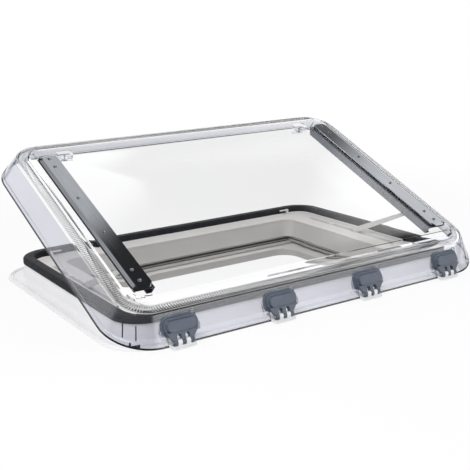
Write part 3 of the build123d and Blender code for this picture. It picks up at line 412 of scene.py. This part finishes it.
def paneFinish(face, skin, look):
    # the finish of one face; a face that joins the skin to the other side of the wall is a cut edge, painted
    # near black as shade, and so is a band at the foot
    place = face.calc_center_median()
    onCut = 0 < sum(v in skin for v in face.verts) < len(face.verts)
    crownHalf, crownFront, crownBack = look["step"][-1][:3]
    if onCut or place.z < look["skirtFoot"][4] + look["edge"]:
        return "paintedShadeEdge"
    if place.z < look["skirtTop"][4] - look["margin"]:
        return "skirtPaintedShadeAcrylic"
    if abs(place.x) < crownHalf and crownFront < place.y < crownBack:
        return "crownAcrylic"
    if place.z > look["clearStep"]:
        return "thinAcrylic"
    return "clear_acrylic"


def outerShell(look):
    bm = bmesh.new()
    low, high, depth = look["skirtMoulding"]
    foot, top = look["skirtFoot"], look["skirtTop"]
    outline = [foot, between(foot, top, look["edge"] / look["skirtSlant"]), between(foot, top, low),
               grown(between(foot, top, high), -depth), between(foot, top, look["skirtMiddle"]), top,
               look["fold"]]
    rings = [fineRing(bm, ring, look) for ring in outline]
    for place, raised in ((0, False), (look["ribEnd"], True), (ribWidth - look["ribEnd"], True),
                          (ribWidth, False)):
        ring = fineRing(bm, between(*look["ribs"], place / ribWidth), look)
        if raised:
            bmesh.ops.translate(bm, vec=(0, 0, look["ribRise"]), verts=everyOther(ring))
        rings.append(ring)
    rings += [fineRing(bm, ring, look) for ring in look["step"]]
    bridged(bm, rings)
    closeCrown(bm, rings[-1], look)
    mergeAndTurn(bm)
    cutSlots(bm, coverSlot)
    skin = set(bm.verts)
    bmesh.ops.solidify(bm, geom=bm.faces[:], thickness=look["pane"])
    for face in bm.faces:
        face.material_index = paneFinishes.index(paneFinish(face, skin, look))
    return bm


outerPane = finishMesh(outerShell(domeShell), "domeOuterShell", domeMatrix, recalculate=False)
for name in paneFinishes:
    outerPane.data.materials.append(materials[name])
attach(outerPane, "dome")
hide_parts("dome_outer_pane")

# inner pane: follows the outer one a few millimetres below it, from a ring on the ribbed rim inwards
innerShell = {"pane": 0.0025, "edgeInset": 0.0200, "drop": 0.0040, "cornerSteps": 24}


def innerPaneMesh(look):
    bm = bmesh.new()
    outline = [between(*domeShell["ribs"], look["edgeInset"] / ribWidth)] + domeShell["step"]
    rings = [roundedRing(bm, *ring[:4], ring[4] - look["drop"], look["cornerSteps"]) for ring in outline]
    bridged(bm, rings)
    closeCrown(bm, rings[-1], domeShell)
    mergeAndTurn(bm)
    bmesh.ops.solidify(bm, geom=bm.faces[:], thickness=look["pane"])
    return bm


innerPane = finishMesh(innerPaneMesh(innerShell), "domeInnerShell", domeMatrix, recalculate=False)
innerPane.data.materials.append(materials["thinAcrylic"])
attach(innerPane, "dome")
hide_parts("dome_inner_pane")

# raised rims and small clear lugs round the hinge covers
coverRim = {
    "half": (0.045, 0.0235),
    "centre": 0.034,
    "radius": 0.021,
    "cornerSteps": 10,
    "gap": 0.0025,
    "width": 0.0018,
    "rise": 0.0012,
    "lift": 0.0001,
    "clear": 0.0040,  # a rim stops this far above the finger slot, so the closed dome clears its brackets
    # a lug's place across and up the skirt, its width, height and thickness, and its rounding
    "lug": (0.036, 0.0625, 0.011, 0.012, 0.003, 0.0008),
}


def onSkirt(x):
    # matrix from a cover's own axes, x along the hinge, y up the skirt, z outwards
    return Matrix.Translation((x, 0, 0)) @ Matrix.Translation(skirtFront) @ Matrix((
        (1, 0, 0), skirtUp, skirtOut)).transposed().to_4x4()


def rimMesh(look, places):
    bm = bmesh.new()
    halfX, halfY = look["half"]
    lugX, lugY, wide, tall, thick, rounding = look["lug"]
    inside, outside = look["gap"], look["gap"] + look["width"]
    for x in places:
        before = set(bm.verts)
        rings = []
        for size, level in ((inside, 0), (inside, look["rise"]), (outside, look["rise"]), (outside, 0)):
            rings.append(roundedRing(bm, halfX + size, look["centre"] - halfY - size,
                                     look["centre"] + halfY + size, look["radius"] + size, level,
                                     look["cornerSteps"]))
        faces = bridged(bm, rings + rings[:1])
        cut = cutAt(bm, faces, (0, coverSlot["top"] + look["clear"], 0), (0, -1, 0), clear=True)
        bmesh.ops.holes_fill(bm, edges=[g for g in cut if isinstance(g, bmesh.types.BMEdge)], sides=0)
        lug = block(bm, wide, tall, thick)
        bmesh.ops.translate(bm, vec=(lugX, lugY, thick / 2), verts=lug)
        bmesh.ops.bevel(bm, geom=list({e for v in lug for e in v.link_edges}), offset=rounding,
                        affect="EDGES", segments=2, profile=0.5, material=-1)
        fresh = [v for v in bm.verts if v not in before]
        bmesh.ops.translate(bm, vec=(0, 0, look["lift"]), verts=fresh)
        bmesh.ops.transform(bm, matrix=onSkirt(x), verts=fresh)
    return bm


coverRims = finishMesh(rimMesh(coverRim, coverSlot["places"]), "coverPocketRims", domeMatrix)
# the rims and lugs wear the skirt's lavender-grey painted shade as well
coverRims.data.materials.append(materials["skirtPaintedShadeAcrylic"])
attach(coverRims, "dome")
for pane in (outerPane, innerPane, coverRims):
    # clear plastic throws next to no shadow
    pane.visible_shadow = False
    pane.visible_diffuse = False
print("dome panes ready")

# rail plates on the dome: each a bar with a slope along its outer side and ends, on a gasket with a thin lip
rail = {
    "inner": 0.4110,
    "outer": 0.4598,
    "front": 0.112,
    "back": 0.6680,
    "frontRadius": 0.0165,
    "backRadius": 0.0235,
    "cornerSteps": 8,
    "foot": 0.0626,
    "thick": 0.0042,
    "wall": 0.0006,  # upright part of the outer side, below the slope
    "bevel": 0.0085,  # width of the slope
    "soft": (0.0006, 0.0002),  # width and drop of the slope's last, flatter strip
    "gasket": 0.0006,
    "gasketLip": 0.0022,
    "gasketClimb": 0.0008,  # how far the lip rises against the bar
}


def railRing(bm, side, inset, level):
    # a bar's outline, drawn in at its outer side and ends: wide corners at the back, tight ones at the front
    inner, outer = rail["inner"], rail["outer"] - inset
    middle = (rail["front"] + rail["back"]) / 2
    corners = flatFace(bm, outer - inner, rail["back"] - rail["front"] - 2 * inset,
                       (side * (inner + outer) / 2, middle, level))
    face = corners[0].link_faces[0]
    for atBack, radius in ((True, rail["backRadius"]), (False, rail["frontRadius"])):
        ends = [v for v in face.verts if (v.co.y > middle) == atBack]
        rounded = bmesh.ops.bevel(bm, geom=ends, offset=radius - inset, affect="VERTICES",
                                  segments=rail["cornerSteps"], profile=0.5, material=-1)
        face = next(f for v in rounded["verts"] for f in v.link_faces)
    edges = list(face.edges)
    bmesh.ops.delete(bm, geom=[face], context="FACES_ONLY")
    return edges


def barMesh(side, levels):
    # stacked outlines (inset, level), closed above and below
    bm = bmesh.new()
    rings = [railRing(bm, side, inset, level) for inset, level in levels]
    bridged(bm, rings)
    for ring in (rings[0], rings[-1]):
        bmesh.ops.contextual_create(bm, geom=ring)
    return bm


railFoot = rail["foot"] + rail["gasket"]
railTop = railFoot + rail["thick"]
softWidth, softDrop = rail["soft"]
barLevels = ((0, railFoot), (0, railFoot + rail["wall"]), (rail["bevel"] - softWidth, railTop - softDrop),
             (rail["bevel"], railTop))
gasketLevels = ((-rail["gasketLip"], rail["foot"]), (-rail["gasketLip"], railFoot),
                (0, railFoot + rail["gasketClimb"]))
for label, side in (("left", -1), ("right", 1)):
    bar = finishMesh(barMesh(side, barLevels), label + "RailBar", domeMatrix, sharpAngle=2)
    strip = finishMesh(barMesh(side, gasketLevels), label + "RailGasket", domeMatrix)
    for piece, node, slot in ((bar, "rail_plate_" + label, "dark_rail"),
                              (strip, "rail_gasket_" + label, "black_rubber")):
        piece.data.materials.append(materials[slot])
        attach(piece, "dome")
        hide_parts(node)

# six screws in each rail plate
railScrew = {
    "across": 0.4346,
    "along": (0.1367, 0.1749, 0.3193, 0.4637, 0.6081, 0.6463),
    "radius": 0.0046,
    "taper": 0.82,  # share of the radius at the head's top
    "rise": 0.0016,
    "socket": 0.0020,
    "socketDepth": 0.8,  # share of the rise
    "sides": 20,
}
topRadius = railScrew["radius"] * railScrew["taper"]
bm = bmesh.new()
for side in (-1, 1):
    for y in railScrew["along"]:
        before = set(bm.verts)
        head = bmesh.ops.create_cone(bm, cap_ends=True, segments=railScrew["sides"],
                                     radius1=railScrew["radius"], radius2=topRadius,
                                     depth=railScrew["rise"])["verts"]
        top = max({f for v in head for f in v.link_faces}, key=lambda f: f.calc_center_median().z)
        bmesh.ops.inset_region(bm, faces=[top], thickness=topRadius - railScrew["socket"])
        bmesh.ops.translate(bm, vec=(0, 0, -railScrew["socketDepth"] * railScrew["rise"]), verts=top.verts)
        whole = [v for v in bm.verts if v not in before]
        place = (side * railScrew["across"], y, railTop + railScrew["rise"] / 2)
        bmesh.ops.translate(bm, vec=place, verts=whole)
screwHeads = finishMesh(bm, "railScrewHeads", domeMatrix)
screwHeads.data.materials.append(materials["dark_screws"])
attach(screwHeads, "dome")
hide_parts("rail_screws")

# pairs of slim ribs inside the skirt's four corners, painted near black as shade along the corners
cornerRib = {
    "angles": ((38.1, 33.0), (55.3, 53.4)),  # of each rib's foot and top, in degrees from across
    "levels": (-0.001, 0.0238),
    "inside": 0.0046,
    "wide": 0.0022,
    "deep": 0.0026,
}


def cornerPoint(ring, sideX, sideY, angle):
    # a point on the arc of one of a ring's corners
    half, front, back, radius, level = ring
    turn = math.radians(angle)
    edge = front if sideY < 0 else back
    return Vector((sideX * (half - radius + radius * math.cos(turn)),
                   edge - sideY * radius + sideY * radius * math.sin(turn), level))


bm = bmesh.new()
ribRings = []
for level in cornerRib["levels"]:
    share = (level - domeShell["skirtFoot"][4]) / (domeShell["skirtTop"][4] - domeShell["skirtFoot"][4])
    ring = between(domeShell["skirtFoot"], domeShell["skirtTop"], share)
    ribRings.append(grown(ring, -cornerRib["inside"]))
for sideX in (-1, 1):
    for sideY in (-1, 1):
        for angles in cornerRib["angles"]:
            low, high = (cornerPoint(ring, sideX, sideY, angle) for ring, angle in zip(ribRings, angles))
            rib = block(bm, cornerRib["wide"], cornerRib["deep"], (high - low).length)
            lean = (high - low).to_track_quat("Z", "X").to_matrix().to_4x4()
            bmesh.ops.transform(bm, matrix=Matrix.Translation((low + high) / 2) @ lean, verts=rib)
cornerRibs = finishMesh(bm, "skirtCornerRibs", domeMatrix)
cornerRibs.data.materials.append(materials["paintedShadeEdge"])
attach(cornerRibs, "dome")

# two low beads that run round the flange, their feet sunk in it
flangeLow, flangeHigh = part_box("outer_frame")
bead = {
    "insets": (0.0045, 0.0105),
    "width": 0.0024,
    "slope": 0.0004,
    "rise": 0.0024,
    "sunk": 0.0005,
    "level": 0.0065,
    "radius": 0.098,
    "cornerSteps": 14,
}
bm = bmesh.new()
for inset in bead["insets"]:
    rings = []
    for more, rise in ((0, -bead["sunk"]), (bead["slope"], bead["rise"]),
                       (bead["width"] - bead["slope"], bead["rise"]), (bead["width"], -bead["sunk"])):
        size = inset + more
        rings.append(roundedRing(bm, flangeHigh.x - size, flangeLow.y + size, flangeHigh.y - size,
                                 bead["radius"] - size, bead["level"] + rise, bead["cornerSteps"]))
    bridged(bm, rings)
beads = finishMesh(bm, "flangeBeads")
beads.data.materials.append(materials["white_frame"])
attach(beads, "root")
print("rails and trim ready")

# pleated cloths, folded in the cassettes at the well's front and back: the near edge lies on the pull bar's
# side, the far edge on the other
cloths = {
    "blind": dict(bar="blind_pull_bar", node="blind_pleats", body="blind", slot="blind_cloth", pleats=55),
    "screen": dict(bar="screen_pull_bar", node="screen_pleats", body="screen", slot="screen_mesh", pleats=55),
}
clothGap = 0.0005  # free height above and below the folds
for label, look in cloths.items():
    low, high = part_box(look["node"])
    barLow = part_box(look["bar"])[0]
    near, far = (high.y, low.y) if barLow.y > low.y else (low.y, high.y)
    step = (far - near) / (2 * look["pleats"])
    tall = high.z - low.z - 2 * clothGap
    bm = bmesh.new()
    last = [bm.edges.new([bm.verts.new((x, near, low.z + clothGap)) for x in (low.x, high.x)])]
    for fold in range(2 * look["pleats"]):
        verts, last = drawnOut(bm, last)
        bmesh.ops.translate(bm, vec=(0, step, -tall if fold % 2 else tall), verts=verts)
    cloth = finishMesh(bm, look["node"].replace("_", "") + "Cloth", smooth=False)
    cloth.data.materials.append(materials[look["slot"]])
    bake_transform(cloth)
    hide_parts(look["node"])
print("cloths ready")

# stage: a pale roof with the cut-out that the window hangs in, and a plain sheet below
stageLook = {
    "halfSize": 9.0,
    "outsideRadius": 0.5,
    "cutHalf": 0.481,
    "cutReach": 0.3285,
    "cutRadius": 0.056,
    "cornerSteps": 8,
    "roof": 0.0,
    "sheetDrop": 0.6,
    "colour": (0.9, 0.9, 0.9),
    "roughness": 0.9,
    # how much of the plain white shows near the object, under its shadow, and where it becomes all of it
    "roofShare": 0.8,
    "sheetShare": 1.0,
    "clearing": (0.9, 1.8),
}


def combined(tree, operation, first, second):
    # a Math node on two values, each a socket or a plain number
    node = tree.nodes.new("ShaderNodeMath")
    node.operation = operation
    for socket, value in zip(node.inputs, (first, second)):
        if isinstance(value, bpy.types.NodeSocket):
            tree.links.new(value, socket)
        else:
            socket.default_value = value
    return node.outputs[0]


def whiteToCamera(name, share):
    # a matt surface to the lamps; camera, gloss and glass see a share of plain white in it
    material, tree, shader = newMaterial(name)
    shader.inputs["Base Color"].default_value = (*stageLook["colour"], 1)
    shader.inputs["Roughness"].default_value = stageLook["roughness"]
    shader.inputs["Specular IOR Level"].default_value = 0
    glow = tree.nodes.new("ShaderNodeEmission")
    glow.inputs["Strength"].default_value = 1
    place = tree.nodes.new("ShaderNodeTexCoord")
    away = tree.nodes.new("ShaderNodeVectorMath")
    away.operation = "LENGTH"
    spread = tree.nodes.new("ShaderNodeMapRange")
    spread.inputs["From Min"].default_value = stageLook["clearing"][0]
    spread.inputs["From Max"].default_value = stageLook["clearing"][1]
    spread.inputs["To Min"].default_value = share
    spread.inputs["To Max"].default_value = 1
    tree.links.new(place.outputs["Object"], away.inputs[0])
    tree.links.new(away.outputs["Value"], spread.inputs["Value"])
    path = tree.nodes.new("ShaderNodeLightPath")
    seen = combined(tree, "MAXIMUM", path.outputs["Is Camera Ray"], path.outputs["Is Glossy Ray"])
    seen = combined(tree, "MAXIMUM", seen, path.outputs["Is Transmission Ray"])
    mix = tree.nodes.new("ShaderNodeMixShader")
    tree.links.new(combined(tree, "MULTIPLY", seen, spread.outputs["Result"]), mix.inputs["Fac"])
    tree.links.new(shader.outputs[0], mix.inputs[1])
    tree.links.new(glow.outputs[0], mix.inputs[2])
    output = next(node for node in tree.nodes if node.type == "OUTPUT_MATERIAL")
    tree.links.new(mix.outputs[0], output.inputs["Surface"])
    return material


bm = bmesh.new()
size = stageLook["halfSize"]
outside = roundedRing(bm, size, -size, size, stageLook["outsideRadius"], stageLook["roof"],
                      stageLook["cornerSteps"])
hole = roundedRing(bm, stageLook["cutHalf"], -stageLook["cutReach"], stageLook["cutReach"],
                   stageLook["cutRadius"], stageLook["roof"], stageLook["cornerSteps"])
bridged(bm, [outside, hole])
roof = finishMesh(bm, "stageRoof", smooth=False)
roof.data.materials.append(whiteToCamera("stageRoofWhite", stageLook["roofShare"]))
bm = bmesh.new()
flatFace(bm, 2 * size, 2 * size, (0, 0, -stageLook["sheetDrop"]))
sheet = finishMesh(bm, "stageSheet", smooth=False)
sheet.data.materials.append(whiteToCamera("stageSheetWhite", stageLook["sheetShare"]))

# light: an even pale world, one large soft lamp above the left and a weaker one at the right
world = bpy.data.worlds.new("studio")
bpy.context.scene.world = world
world.use_nodes = True
tree = world.node_tree
background = next(node for node in tree.nodes if node.type == "BACKGROUND")
studio = {
    "ambient": 0.62,
    "dark": 0.05,  # what gloss and glass see between the panels
    # pale panels that only gloss and glass see: direction, inner and outer angle, strength
    "panels": {
        "backdrop": ((0.5256, 0.8125, -0.10), 41, 54, 1.05),
        "leftCard": ((-0.7386, 0.5282, 0.4142), 16, 34, 1.5),
        "frontCard": ((0.5256, -0.8265, 0.198), 16, 28, 3.0),
        "railCardLeft": ((0.362, 0.509, 0.781), 2.6, 5.8, 1.05),
        "flankCard": ((-0.37, 0.28, 0.88), 15, 27, 0.70),
        "railCardRight": ((0.698, 0.302, 0.649), 3.0, 8.5, 1.35),
    },
}
path = tree.nodes.new("ShaderNodeLightPath")
direction = tree.nodes.new("ShaderNodeTexCoord")


def panelGlow(place, inner, outer, strength):
    # full strength within the inner angle of a direction, none beyond the outer one
    facing = tree.nodes.new("ShaderNodeVectorMath")
    facing.operation = "DOT_PRODUCT"
    facing.inputs[1].default_value = Vector(place).normalized()
    soft = tree.nodes.new("ShaderNodeMapRange")
    soft.interpolation_type = "SMOOTHSTEP"
    soft.inputs["From Min"].default_value = math.cos(math.radians(outer))
    soft.inputs["From Max"].default_value = math.cos(math.radians(inner))
    soft.inputs["To Max"].default_value = strength
    tree.links.new(direction.outputs["Generated"], facing.inputs[0])
    tree.links.new(facing.outputs["Value"], soft.inputs["Value"])
    return soft.outputs["Result"]


glow = studio["dark"]
for panel in studio["panels"].values():
    glow = combined(tree, "ADD", glow, panelGlow(*panel))

# the camera sees plain white, gloss and glass see the panels, and the rest gets the even light
mirrored = combined(tree, "MAXIMUM", path.outputs["Is Glossy Ray"], path.outputs["Is Transmission Ray"])
forPlain = tree.nodes.new("ShaderNodeMix")
forPlain.inputs["A"].default_value = studio["ambient"]
forPlain.inputs["B"].default_value = 1
tree.links.new(path.outputs["Is Camera Ray"], forPlain.inputs["Factor"])
forPanels = tree.nodes.new("ShaderNodeMix")
tree.links.new(mirrored, forPanels.inputs["Factor"])
tree.links.new(forPlain.outputs["Result"], forPanels.inputs["A"])
tree.links.new(glow, forPanels.inputs["B"])
tree.links.new(forPanels.outputs["Result"], background.inputs["Strength"])
background.inputs["Color"].default_value = (1, 1, 1, 1)

lamps = {
    "keyLamp": dict(place=(-1.8, -1.2, 2.6), size=2.2, power=50),
    "fillLamp": dict(place=(2.4, -0.8, 1.8), size=1.8, power=16),
}
for name, look in lamps.items():
    data = bpy.data.lights.new(name, "AREA")
    data.size = look["size"]
    data.energy = look["power"]
    lamp = bpy.data.objects.new(name, data)
    lamp.location = look["place"]
    lamp.rotation_euler = (-Vector(look["place"])).to_track_quat("-Z", "Y").to_euler()
    bpy.context.scene.collection.objects.link(lamp)

# camera, as fitted to the photo's outlines; angles in degrees, lens and sensor in millimetres
view = {"place": (-1.2245, -1.8998, 0.6863), "pitch": 14.6, "yaw": 32.9, "roll": -1.5, "lens": 67.0,
        "sensor": 36}
pitch, yaw, roll = (math.radians(view[k]) for k in ("pitch", "yaw", "roll"))
ahead = Vector((math.sin(yaw) * math.cos(pitch), math.cos(yaw) * math.cos(pitch), -math.sin(pitch)))
right = Vector((math.cos(yaw), -math.sin(yaw), 0))
up = right.cross(ahead)
across = math.cos(roll) * right + math.sin(roll) * up
upward = math.cos(roll) * up - math.sin(roll) * right
cameraData = bpy.data.cameras.new("photoCamera")
cameraData.lens = view["lens"]
cameraData.sensor_width = view["sensor"]
camera = bpy.data.objects.new("photoCamera", cameraData)
turned = Matrix((across, upward, -ahead)).transposed().to_4x4()
camera.matrix_world = Matrix.Translation(view["place"]) @ turned
bpy.context.scene.collection.objects.link(camera)
bpy.context.scene.camera = camera
bpy.context.scene.view_settings.view_transform = "Standard"
print("stage, light and camera ready")
